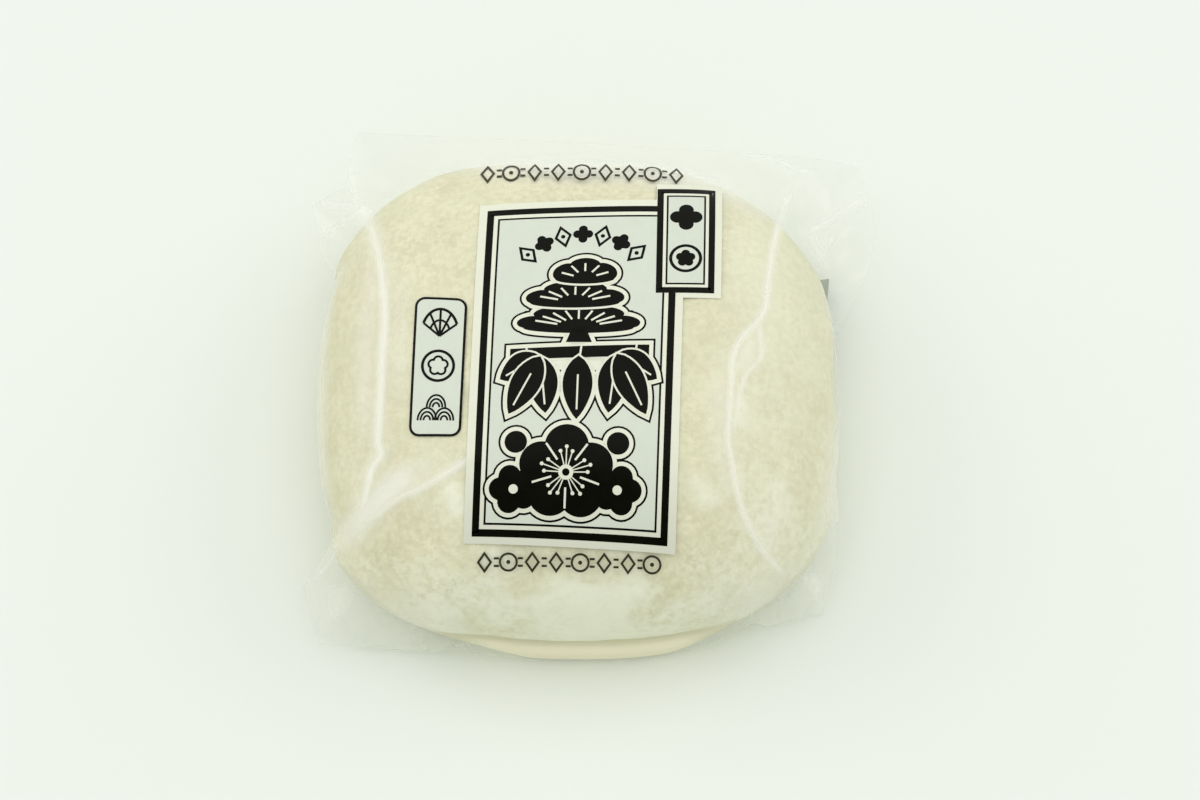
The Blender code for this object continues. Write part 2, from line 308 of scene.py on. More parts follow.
class TautFilm:
    """The film's form: it lies on the dome, and from each pressed fold it runs straight up and
    down to where it touches the cake. Everything is looked up by plan angle and radius."""

    def __init__(self, sizes):
        self.half_width = sizes.cake_width / MM / 2
        self.half_depth = sizes.cake_depth / MM / 2
        self.gap = sizes.film_gap / MM
        self.rise = sizes.cake_height / MM + self.gap - WIDEST_HEIGHT
        self.wrinkle = sizes.wrinkle_height / MM
        self.creases = [(smooth_path(path, 1.0), *rest) for path, *rest in CREASES]
        self.angles = np.arange(TABLE_ANGLES) * TURN / TABLE_ANGLES
        self.table = self.sections(self.angles)

    def cake_reach(self, angles):
        """Distance to the cake's widest outline: |x/a|^n + |y/b|^n = 1."""
        across = np.abs(np.cos(angles)) / self.half_width
        along = np.abs(np.sin(angles)) / self.half_depth
        return (across**PLAN_POWER + along**PLAN_POWER) ** (-1 / PLAN_POWER)

    def sections(self, angles):
        """The upright section at each plan angle: reach and height of the fold, and the radii
        where the straight film above and below it meets the cake."""
        hug = self.cake_reach(angles) + self.gap
        folded, fold_height = fold_line(angles)
        loose = folded > hug
        reach = np.where(loose, folded, hug)
        settled = smooth_step((folded - hug) / FOLD_SETTLES)
        height = WIDEST_HEIGHT + (fold_height - WIDEST_HEIGHT) * settled
        foot = angle_window(angles, FOOT_ANGLE, FOOT_SPREAD, FOOT_FADE)
        base = hug * (BASE_SHARE + (FOOT_BASE_SHARE - BASE_SHARE) * foot)
        share = np.sin(np.linspace(0, math.pi / 2, TANGENT_SAMPLES)) ** (2 / DOME_POWER)
        share = np.tile(share, (len(angles), 1))
        under = base[:, None] + (hug - base)[:, None] * share
        meets_dome = taut_meeting(reach, height, hug[:, None] * share, self.dome(share), 1)
        meets_under = taut_meeting(reach, height - PRESSED_EDGE, under, self.under_curve(share), -1)
        return {
            "hug": hug, "reach": reach, "height": height, "base": base,
            "meets_dome": np.where(loose, meets_dome, reach),
            "meets_under": np.where(loose, meets_under, reach),
        }

    def at(self, name, angles):
        return np.interp(angles % TURN, self.angles, self.table[name], period=TURN)

    def around(self, x, y, *names):
        """Radius of plan points, and these values of the sections they are in."""
        angles = np.arctan2(y, x)
        return np.hypot(x, y), *(self.at(name, angles) for name in names)

    def dome(self, share):
        """Height over the dome: from the widest line, a rise times (1 - share^p)^(1/p)."""
        share = np.clip(share, 0, 1)
        return WIDEST_HEIGHT + self.rise * (1 - share**DOME_POWER) ** (1 / DOME_POWER)

    def under_curve(self, share):
        """Height of the lower side: a quarter ellipse from the base up to the widest line."""
        return BASE_LEVEL + UNDER_RISE * (1 - np.sqrt(1 - np.clip(share, 0, 1) ** 2))

    def under_reach(self, z, angles):
        """Radius of the lower side's curve at a height, further out where the film is slack."""
        share = math.sqrt(1 - (1 - min(1.0, max(0.0, (z - BASE_LEVEL) / UNDER_RISE))) ** 2)
        base, hug, reach = (self.at(name, angles) for name in ("base", "hug", "reach"))
        return base + (hug - base) * share + reach - hug

    def relief(self, x, y):
        """Height of the creases, each a soft ridge along its path, and how white they are, partly a
        painted highlight.
        """
        height = np.zeros_like(x)
        white = np.zeros_like(x)
        for path, crest, half_width, whiteness in self.creases:
            gap, share = line_distance(x, y, path)
            ends = smooth_step(share / 0.12) * smooth_step((1 - share) / 0.12)
            height = np.maximum(height, crest * ends * smooth_step(1 - gap / half_width))
            core = np.exp(-((gap / (0.36 + 0.03 * half_width)) ** 2))
            glow = np.exp(-((gap / (0.42 * half_width)) ** 2))
            white = np.maximum(white, whiteness * (0.55 * core + 0.45 * glow) * ends)
        return height, white

    def whiteness(self, x, y):
        """How white the film and what sticks to it are, along creases and in milky bands, partly a
        painted highlight.
        """
        return np.maximum(self.relief(x, y)[1], soft_bands(VEILS, x, y))

    def pleats(self, x, y, begin, end, seed):
        """Pleats in slack film, which fade out where it touches the cake and at the fold."""
        radius, reach, hug = self.around(x, y, "reach", "hug")
        share = np.clip((radius - begin) / np.maximum(end - begin, 1.0), 0, 1)
        slack = smooth_step((end - begin) / 6) * smooth_step((reach - hug) / 3.0)
        plan = np.stack([x, y], axis=-1)
        folds = folded_noise(plan, 9.0, seed) + 0.4 * soft_noise(plan, 5.0, seed)
        return self.wrinkle * 4 * share * (1 - share) * slack * folds

    def plain_top(self, x, y):
        """Height of the upper sheet without its creases and pleats."""
        radius, hug, reach, meets, height = self.around(
            x, y, "hug", "reach", "meets_dome", "height")
        touch = self.dome(meets / hug)
        return taut_height(radius, meets, reach, touch, height, self.dome(radius / hug))

    def top(self, x, y):
        """Height of the upper sheet."""
        radius, reach, meets = self.around(x, y, "reach", "meets_dome")
        inside = np.clip((reach - radius) / 1.2, 0, 1)
        level = self.plain_top(x, y) + self.relief(x, y)[0] * inside
        return level + self.pleats(x, y, meets, reach, 11)

    def print_level(self, x, y):
        """Height of the first layer of print, on the outer face of the upper sheet."""
        return self.top(x, y) + 0.04

    def under(self, x, y):
        """Height of the lower sheet."""
        radius, hug, reach, base, meets, height = self.around(
            x, y, "hug", "reach", "base", "meets_under", "height")
        touch = self.under_curve((meets - base) / (hug - base))
        curve = self.under_curve((radius - base) / (hug - base))
        z = taut_height(radius, meets, reach, touch, height - PRESSED_EDGE, curve)
        return z + self.pleats(x, y, meets, reach, 23)


def fold_line(angles):
    """Distance to the straight folds between the film's corners, and their height: where each
    ray from the middle crosses an edge of the polygon."""
    corners = np.array(FOLD_CORNERS)
    starts = np.arctan2(corners[:, 1], corners[:, 0]) % TURN
    first = np.argmin(starts)
    corners = np.roll(corners, -first, axis=0)
    starts = np.roll(starts, -first)
    edge = (np.searchsorted(starts, angles, side="right") - 1) % len(corners)
    begin = corners[edge]
    step = corners[(edge + 1) % len(corners)] - begin
    ray = np.stack([np.cos(angles), np.sin(angles)], axis=1)
    across = ray[:, 0] * step[:, 1] - ray[:, 1] * step[:, 0]
    reach = (begin[:, 0] * step[:, 1] - begin[:, 1] * step[:, 0]) / across
    share = (begin[:, 0] * ray[:, 1] - begin[:, 1] * ray[:, 0]) / across
    return reach, begin[:, 2] + share * step[:, 2]


def angle_window(angles, middle, spread, fade):
    """1 within the spread on both sides of the middle angle, falling smoothly to 0 past it."""
    turn = np.abs((angles - middle + math.pi) % TURN - math.pi)
    return 1 - smooth_step((turn - spread) / fade)


def taut_meeting(reach, height, radii, heights, side):
    """Where straight film from the fold meets the curved section: the radius of the point that
    gives the steepest slope. side is 1 above the fold, -1 below it."""
    slopes = side * (heights - height[:, None]) / (reach[:, None] - radii + TINY)
    meeting = np.argmax(slopes, axis=1)
    return radii[np.arange(len(meeting)), meeting]


def taut_height(radius, meets, reach, touch, fold, curve):
    """On the curve out to where the film leaves it, and straight from there to the fold."""
    taut = touch + (fold - touch) * (radius - meets) / np.maximum(reach - meets, TINY)
    return np.where(radius > meets, taut, curve)


def direction(angle):
    return np.array((math.cos(angle), math.sin(angle)))


def spoke_angles(count):
    """Even plan angles, with the nearest one moved onto each corner of the film."""
    angles = np.arange(count) * TURN / count
    for x, y, _ in FOLD_CORNERS:
        corner = math.atan2(y, x) % TURN
        turn = np.abs((angles - corner + math.pi) % TURN - math.pi)
        angles[np.argmin(turn)] = corner
    return np.sort(angles)


# Meshes


def new_piece(name, vertices, faces, material):
    """A mesh in metres with outward faces, riding on the pack's body in place of its solid."""
    mesh = bpy.data.meshes.new(name)
    mesh.from_pydata((np.asarray(vertices) * MM).tolist(), [], faces)
    work = bmesh.new()
    work.from_mesh(mesh)
    bmesh.ops.recalc_face_normals(work, faces=work.faces)
    work.to_mesh(mesh)
    work.free()
    mesh.shade_smooth()
    mesh.set_sharp_from_angle(angle=SHARP_EDGE)
    piece = bpy.data.objects.new(name, mesh)
    bpy.context.scene.collection.objects.link(piece)
    mesh.materials.append(material)
    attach(piece, "root")
    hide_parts(PACK)
    return piece


def grid_quads(index):
    """The faces of a grid, from the numbers of its vertices by row and column."""
    corners = [index[:-1, :-1], index[1:, :-1], index[1:, 1:], index[:-1, 1:]]
    return np.stack(corners, axis=-1).reshape(-1, 4)


def polar_skin(rings, first_pole, last_pole):
    """Vertices and faces of a closed skin: rings of points from one pole to the other."""
    rings = np.asarray(rings)
    count = rings.shape[1]
    vertices = np.concatenate([[first_pole], rings.reshape(-1, 3), [last_pole]])
    index = 1 + np.arange(rings.shape[0] * count).reshape(-1, count)
    index = np.column_stack([index, index[:, :1]])
    start = np.full(count, 0)
    finish = np.full(count, len(vertices) - 1)
    caps = [np.stack([start, index[0, :-1], index[0, 1:]], axis=-1),
            np.stack([finish, index[-1, 1:], index[-1, :-1]], axis=-1)]
    return vertices, grid_quads(index).tolist() + np.concatenate(caps).tolist()


def point_attribute(piece, name, values):
    attribute = piece.data.attributes.new(name, "FLOAT", "POINT")
    attribute.data.foreach_set("value", np.asarray(values, np.float32))


# Materials


class Value:
    """A number that a node gives. Sums with it make the nodes that work them out."""

    def __init__(self, socket):
        self.socket = socket

    def maths(self, operation, *inputs):
        return Value(add_node(self.socket.id_data, "Math", *inputs, operation=operation).outputs[0])

    def __add__(self, other):
        return self.maths("ADD", self, other)

    def __sub__(self, other):
        return self.maths("SUBTRACT", self, other)

    def __rsub__(self, other):
        return self.maths("SUBTRACT", other, self)

    def __mul__(self, other):
        return self.maths("MULTIPLY", self, other)

    def __truediv__(self, other):
        return self.maths("DIVIDE", self, other)

    def above(self, other):
        return self.maths("MAXIMUM", self, other)

    def band(self, low, high):
        """0 below low, 1 above high, smooth between."""
        tree = self.socket.id_data
        node = add_node(tree, "MapRange", self, low, high, interpolation_type="SMOOTHSTEP")
        return Value(node.outputs["Result"])


def add_node(tree, kind, *inputs, **settings):
    """A node with its settings, and its inputs in order: a value or socket is linked, None is left
    as it is and anything else is the socket's own value."""
    node = tree.nodes.new("ShaderNode" + kind)
    for name, value in settings.items():
        setattr(node, name, value)
    for socket, value in zip(node.inputs, inputs):
        value = getattr(value, "socket", value)
        if isinstance(value, bpy.types.NodeSocket):
            tree.links.new(value, socket)
        elif value is not None:
            socket.default_value = value
    return node


class Look:
    """A procedural material and the nodes that the looks are made of."""

    def __init__(self, name):
        self.material = bpy.data.materials.new(name)
        self.material.use_nodes = True
        self.tree = self.material.node_tree
        self.tree.nodes.clear()
        self.place = add_node(self.tree, "TexCoord").outputs["Object"]

    def noise(self, scale, detail=3.0, rough=0.55):
        """Soft noise around 0.5, scale in lumps a metre."""
        node = add_node(self.tree, "TexNoise", self.place)
        for name, value in (("Scale", scale), ("Detail", detail), ("Roughness", rough)):
            node.inputs[name].default_value = value
        return Value(node.outputs["Fac"])

    def across(self, axis):
        return Value(add_node(self.tree, "SeparateXYZ", self.place).outputs[axis])

    def attribute(self, name):
        return Value(add_node(self.tree, "Attribute", attribute_name=name).outputs["Fac"])

    def mix(self, share, first, second):
        """Two colours mixed; each is a socket or three numbers."""
        node = self.tree.nodes.new("ShaderNodeMix")
        node.data_type = "RGBA"
        self.tree.links.new(share.socket, node.inputs[0])
        for socket, value in zip((node.inputs[6], node.inputs[7]), (first, second)):
            if isinstance(value, bpy.types.NodeSocket):
                self.tree.links.new(value, socket)
            else:
                socket.default_value = opaque(value)
        return node.outputs[2]

    def bump(self, height, strength, distance, shader):
        node = add_node(self.tree, "Bump", strength, distance)
        self.tree.links.new(height.socket, node.inputs["Height"])
        self.tree.links.new(node.outputs[0], shader.inputs["Normal"])

    def plain(self, colour, rough, specular):
        """A plain shader, set as the material's own."""
        shader = add_node(self.tree, "BsdfPrincipled", colour)
        shader.inputs["Roughness"].default_value = rough
        shader.inputs["Specular IOR Level"].default_value = specular
        add_node(self.tree, "OutputMaterial", shader.outputs[0])
        return shader


def opaque(colour):
    return (*colour, 1.0)


def rice_material(colours):
    """Cream rice cake with thick flour, damp olive mottles and a warm smooth lip, with painted
    shade on its sides and in the lip's fold and a painted highlight under the film's creases.
    """
    look = Look("floured_rice_cake")
    noise = look.noise
    x = look.across("X")
    side = x.maths("ABSOLUTE", x)
    front = look.across("Y") * -26.0

    # Bare cake: warm spots, olive mottles with a fine grain, painted shade darkening both sides, a
    # powdery right side
    pink = noise(60.0, 2.0).band(0.46, 0.72) * 0.36 + noise(330.0, 4.0, 0.6).band(0.50, 0.62) * 0.46
    colour = look.mix(pink, colours.rice, colours.blush)
    mottled = (noise(170.0, 4.0, 0.6) * 0.5 + noise(650.0, 5.0, 0.7) * 0.5).band(0.44, 0.57)
    gritty = noise(1150.0, 4.0, 0.7).band(0.43, 0.57)
    # painted shade: the cake's sides darken towards the damp olive
    olive = mottled * 0.32 + side.band(0.022, 0.034) * 0.24 + gritty * 0.46
    colour = look.mix(olive, colour, colours.damp)
    colour = look.mix(x.band(0.015, 0.026) * 0.26, colour, colours.flour)

    # Flour: thin patches all over, a thick band along the front, the patches of the table
    wander = front + noise(110.0, 3.0)
    dusted = wander.band(0.45, 1.30) * 0.42 + 0.14
    thick = wander.band(1.05, 1.32) * side.band(0.029, 0.017)
    snow = look.attribute("snow")
    thin = noise(150.0, 6.0, 0.68).band(0.36, 0.66) * dusted
    flour = thin.above(thick * 0.78).above(snow * 0.9)
    colour = look.mix(flour, colour, colours.flour)

    # Damp marks: specks and blots, clustered towards the front and the sides and in the smudges
    spread = front + side * 12.0 + noise(130.0, 3.0) - thick * 0.45
    clusters = (spread.band(0.62, 1.25) * 0.65).above(look.attribute("damp")) * (1.0 - snow * 0.8)
    specks = noise(950.0, 6.0, 0.75).band(0.46, 0.60)
    blots = noise(190.0, 6.0, 0.70).band(0.48, 0.66)
    colour = look.mix((specks * 0.70 + blots * 0.50 + 0.16) * clusters, colour, colours.damp)

    # Flour that the film's creases hold, with a painted highlight along them, the smooth lip and
    # painted shade in its fold
    colour = look.mix(look.attribute("crease_flour_and_highlight"), colour, colours.crease_flour_and_highlight)
    lip = look.attribute("lip")
    colour = look.mix(lip, colour, colours.blush)
    # painted shade in the fold above the lip, in the damp olive colour
    colour = look.mix(lip * (1.0 - lip) * 3.6, colour, colours.damp)

    shader = look.plain(colour, 0.78, 0.3)
    look.bump(noise(2600.0, 2.0) * 0.35 + noise(700.0, 4.0) + flour, 0.25, 0.00012, shader)
    return look.material


def film_material(name, colours, veil):
    """A thin clear sheet: see-through, with the faint reflection of its two faces, which grows
    towards grazing as Schlick's formula says, and white where the sheet is creased, partly its
    own white and partly a painted highlight."""
    look = Look(name)
    tree = look.tree
    facing = Value(add_node(tree, "LayerWeight", 0.5).outputs["Facing"])
    one_face = facing.maths("POWER", facing, 5.0) * 0.30 + 0.011
    rough = 0.44 - look.attribute("loose") * 0.30
    gloss = add_node(tree, "BsdfGlossy", opaque((1.0, 1.0, 1.0)), rough)
    look.bump(look.noise(420.0, 3.0), 0.15, 0.0001, gloss)
    clear = add_node(tree, "BsdfTransparent", opaque((0.999, 1.0, 0.995)))
    both_faces = one_face * 2.0 / (one_face + 1.0)
    shine = add_node(tree, "MixShader", both_faces, clear.outputs[0], gloss.outputs[0])
    # white along creases and in bands: partly the film's own milkiness, partly a painted highlight
    haze_and_highlight = look.attribute("crease") * (look.noise(210.0, 3.0) * 0.5 + 0.75) + veil
    milk_and_highlight = add_node(tree, "BsdfDiffuse", opaque(colours.crease_white_and_highlight))
    whole = add_node(tree, "MixShader", haze_and_highlight, shine.outputs[0], milk_and_highlight.outputs[0])
    add_node(tree, "OutputMaterial", whole.outputs[0])
    return look.material


def ink_material(name, colour, rough, uneven, painted_front_shade=0.0):
    """Printed ink, a little uneven in thickness from place to place, with painted shade darkening
    it towards the front."""
    look = Look(name)
    cloudy = look.noise(500.0, 4.0).band(0.3, 0.7)
    ink = look.mix(cloudy, colour, [min(1.0, c + uneven) for c in colour])
    if painted_front_shade:
        # painted shade: the ink darkens towards the front
        front = look.across("Y").band(-0.008, -0.025)
        ink = look.mix(front, ink, [c * (1 - painted_front_shade) for c in colour])
    look.plain(ink, rough, 0.12)
    return look.material


# Drawing: outlines are closed rings of (across, back) points in a panel's own millimetres


def polygon(corners, spacing=0.5):
    """A closed outline with straight sides, its corners kept."""
    corners = np.asarray(corners, float)
    sides = []
    for begin, end in zip(corners, np.roll(corners, -1, axis=0)):
        count = max(1, math.ceil(np.linalg.norm(end - begin) / spacing))
        sides.append(begin + (end - begin) * np.linspace(0, 1, count, endpoint=False)[:, None])
    return np.concatenate(sides)


def rectangle(half_width, half_height, centre=(0, 0), spacing=0.5):
    w, h = half_width, half_height
    return polygon([(-w, -h), (w, -h), (w, h), (-w, h)], spacing) + centre


def round_rectangle(half_width, half_height, radius):
    """A rectangle whose corners are quarter circles."""
    turns = np.linspace(0, math.pi / 2, 6)
    corners = []
    for quarter, (sx, sy) in enumerate(((1, 1), (-1, 1), (-1, -1), (1, -1))):
        angle = turns + quarter * math.pi / 2
        middle = (sx * (half_width - radius), sy * (half_height - radius))
        corners.append(np.stack([np.cos(angle), np.sin(angle)], axis=1) * radius + middle)
    return polygon(np.concatenate(corners))


def round_outline(radius, centre=(0, 0), count=28):
    """A ring r(angle) about its centre; radius is a number or a function of the angle."""
    angle = np.arange(count) * TURN / count
    r = radius(angle) if callable(radius) else radius
    return np.stack([r * np.cos(angle), r * np.sin(angle)], axis=1) + centre


def petals(number, distance, size, turn=0.0):
    """The outline of a ring of equal discs as a function of the angle: the far crossing of each
    ray with the disc on the nearest petal's axis, d cos t + sqrt(s^2 - d^2 sin^2 t)."""
    step = TURN / number

    def radius(angle):
        t = (angle - turn + step / 2) % step - step / 2
        return distance * np.cos(t) + np.sqrt(np.maximum(size**2 - (distance * np.sin(t)) ** 2, 0))

    return radius


def leaf(root, angle, length, half_width):
    """A pointed leaf: two arcs whose gap is w sin(pi t)^0.8, fullest a little before the middle."""
    t = np.linspace(0, 1, 15)
    gap = half_width * np.sin(math.pi * t**0.85) ** 0.8
    gap[[0, -1]] = 0
    there = np.stack([t * length, gap], axis=1)
    back = np.stack([t[-2:0:-1] * length, -gap[-2:0:-1]], axis=1)
    c, s = math.cos(angle), math.sin(angle)
    return np.concatenate([there, back]) @ np.array([[c, s], [-s, c]]) + root


def tier(centre, half_width, height, lobes):
    """A pine's cloud of needles: a flat half oval whose upper edge swells into round lobes."""
    angle = np.linspace(0, math.pi, 12 * lobes + 1)
    swell = 1 + 0.16 * np.abs(np.sin(lobes * angle)) ** 0.7
    upper = np.stack([half_width * np.cos(angle), height * np.sin(angle)], axis=1) * swell[:, None]
    angle = np.linspace(math.pi, TURN, 25)[1:-1]
    lower = np.stack([half_width * np.cos(angle), 0.28 * height * np.sin(angle)], axis=1)
    return np.concatenate([upper, lower]) + centre


def offset(outline, amount):
    """The outline moved outwards along its mitred normals, sharp corners cut to twice that."""
    ahead = np.roll(outline, -1, axis=0) - outline
    ahead /= np.linalg.norm(ahead, axis=1)[:, None] + TINY
    behind = np.roll(ahead, 1, axis=0)
    x, y = outline[:, 0], outline[:, 1]
    sense = np.sign((x * np.roll(y, -1) - np.roll(x, -1) * y).sum())
    turn = sense * amount / np.maximum(1 + (ahead * behind).sum(axis=1), 0.5)
    mitres = np.stack([ahead[:, 1] + behind[:, 1], -ahead[:, 0] - behind[:, 0]], axis=1)
    return outline + mitres * turn[:, None]


def filled(outline):
    """A patch from the outline's middle to the outline: middle + v (outline - middle)."""
    middle = outline.mean(axis=0)
    rows = max(2, math.ceil(np.linalg.norm(outline - middle, axis=1).max() / 0.8))
    v = np.linspace(0, 1, rows + 1)[:, None, None]
    return middle + v * (outline - middle), True, True


def band_between(inner, outer):
    """A closed band from one outline to the other, point by point."""
    return np.stack([inner, outer]), True, False


def frame_band(outline, width):
    """A frame of this width inside an outline."""
    return band_between(offset(outline, -width), outline)


def ring_line(outline, width):
    """A line of this width along a closed outline."""
    return band_between(offset(outline, -width / 2), offset(outline, width / 2))


def stroke(points, width, spacing=0.5):
    """A line along an open path: path + v n, with v from -width/2 to width/2."""
    path = smooth_path(points, spacing)
    along = np.gradient(path, axis=0)
    along /= np.linalg.norm(along, axis=1)[:, None]
    across = np.stack([-along[:, 1], along[:, 0]], axis=1) * width / 2
    return np.stack([path - across, path + across]), False, False


def on_quad(lower_left, lower_right, upper_right, upper_left, half_width, half_height):
    """Places a panel's own millimetres on the film: bilinear between its four plan corners."""
    corners = [np.array(c, float) for c in (lower_left, lower_right, upper_right, upper_left)]

    def place(points):
        u = (points[..., :1] / half_width + 1) / 2
        v = (points[..., 1:] / half_height + 1) / 2
        low = corners[0] + u * (corners[1] - corners[0])
        high = corners[3] + u * (corners[2] - corners[3])
        return low + v * (high - low)

    return place


MAIN_PANEL = on_quad((-13.90, -22.66), (11.82, -23.92), (13.54, 23.86), (-12.16, 22.95), 13.0, 23.5)
SIDE_PANEL = on_quad((10.40, 10.16), (18.22, 10.52), (18.70, 27.48), (10.80, 26.80), 3.8, 8.4)
LEFT_PANEL = on_quad((-22.33, -9.20), (-15.37, -9.74), (-14.64, 9.47), (-21.68, 10.39), 3.5, 9.8)
UPPER_ROW = on_quad((-13.3, 28.0), (14.4, 27.9), (14.6, 32.1), (-13.4, 32.3), 14.0, 1.45)
LOWER_ROW = on_quad((-13.2, -27.1), (10.85, -27.5), (10.9, -24.9), (-13.2, -24.5), 12.2, 1.45)


class PrintRun:
    """Closed slabs of ink on the film, gathered into one mesh. A shape in a higher layer lies on
    the one below. The surface gives the height of layer 0, and step is how far each layer lies
    above the one before it."""

    thickness = 0.015

    def __init__(self, surface, step=0.009):
        self.surface = surface
        self.step = step
        self.vertices = []
        self.faces = []
        self.count = 0

    def add(self, patch, place, layer):
        grid, closed, pole = patch
        plan = place(grid)
        rows, columns = plan.shape[:2]
        plan = plan.reshape(-1, 2)
        top = self.surface(plan[:, 0], plan[:, 1]) + self.step * layer
        index = np.arange(rows * columns).reshape(rows, columns)
        if pole:
            index[0] = 0
        if closed:
            index = np.column_stack([index, index[:, :1]])
        upper = grid_quads(index)
        rims = [index[-1]] if pole else [index[-1], index[0][::-1]]
        if not closed:
            rims += [index[::-1, -1], index[:, 0]]
        below = rows * columns
        walls = [np.stack([r[:-1], r[1:], r[1:] + below, r[:-1] + below], axis=-1) for r in rims]
        quads = np.concatenate([upper, upper[:, ::-1] + below, *walls])
        used, numbers = np.unique(quads, return_inverse=True)
        levels = np.concatenate([top, top - self.thickness])
        points = np.column_stack([np.tile(plan, (2, 1)), levels])
        quads = (numbers.reshape(quads.shape) + self.count).tolist()
        self.faces += [list(dict.fromkeys(quad)) for quad in quads]
        self.vertices.append(points[used])
        self.count += len(used)

    def fill(self, outline, layer, place=MAIN_PANEL):
        self.add(filled(outline), place, layer)

    def line(self, outline, width, layer, place=MAIN_PANEL):
        self.add(ring_line(outline, width), place, layer)

    def stroke(self, points, width, layer, place=MAIN_PANEL, spacing=0.5):
        self.add(stroke(points, width, spacing), place, layer)

    def piece(self, name, slot, material):
        return new_piece(name, np.concatenate(self.vertices), self.faces, material)


def film_print(context):
    """A run of print on the film's upper side."""
    return PrintRun(TautFilm(context.scene.daifuku_sizes).print_level)


# The motifs in the large panel: white and black ink take the same outlines

BLOSSOM_MIDDLE = np.array((-0.8, -14.9))


def pine():
    """A pine of three clouds on a short trunk, with white needles fanning over each."""
    clouds = (((0.1, 5.0), 7.4, 2.9, 5), ((-0.5, 8.6), 6.0, 2.7, 4), ((0.7, 12.1), 4.0, 2.7, 3))
    shapes = [tier(*cloud) for cloud in clouds]
    trunk = polygon([(-1.5, 2.9), (2.0, 2.9), (1.1, 5.0), (-0.7, 5.0)])
    needles = []
    for centre, wide, high, lobes in clouds:
        fan = []
        for angle in np.radians(np.linspace(24, 156, 2 * lobes - 1)):
            ray = np.array([wide * math.cos(angle), high * math.sin(angle)])
            fan.append([ray * 0.42 + centre, ray * 0.86 + centre])
        needles.append(fan)
    return [trunk, *shapes], needles


def bamboo():
    """A bamboo cane with three knots and seven hanging leaves, the last of each three on top."""
    cane = polygon([(-8.9, 0.4), (9.7, 1.1), (9.7, 2.7), (-8.9, 2.0)])
    knots = [((x, 0.3 + 0.04 * x), (x + 0.25, 2.7 + 0.04 * x)) for x in (-6.9, 0.4, 7.8)]
    leaves = []
    for root, sprays in (((-4.8, 0.9), ((-149, 6.2), (-83, 8.0), (-116, 9.0))),
                         ((5.4, 1.3), ((-96, 8.2), (-31, 6.4), (-63, 9.2))),
                         ((0.3, 1.0), ((-90, 8.8),))):
        leaves += [leaf(root, math.radians(turn), length, 2.0) for turn, length in sprays]
    return cane, knots, leaves


def plum():
    """A large plum blossom between two small ones and two buds."""
    blossom = round_outline(petals(5, 3.45, 2.95, math.pi / 2), BLOSSOM_MIDDLE, 80)
    small = [round_outline(petals(5, 1.75, 1.5, math.pi / 2 + turn), centre, 50)
             for centre, turn in (((-7.7, -17.3), 0.3), ((6.1, -17.0), -0.3))]
    buds = [round_outline(1.5, centre, 24) for centre in ((-7.6, -11.0), (6.0, -10.9))]
    return blossom, small, buds


# Pieces


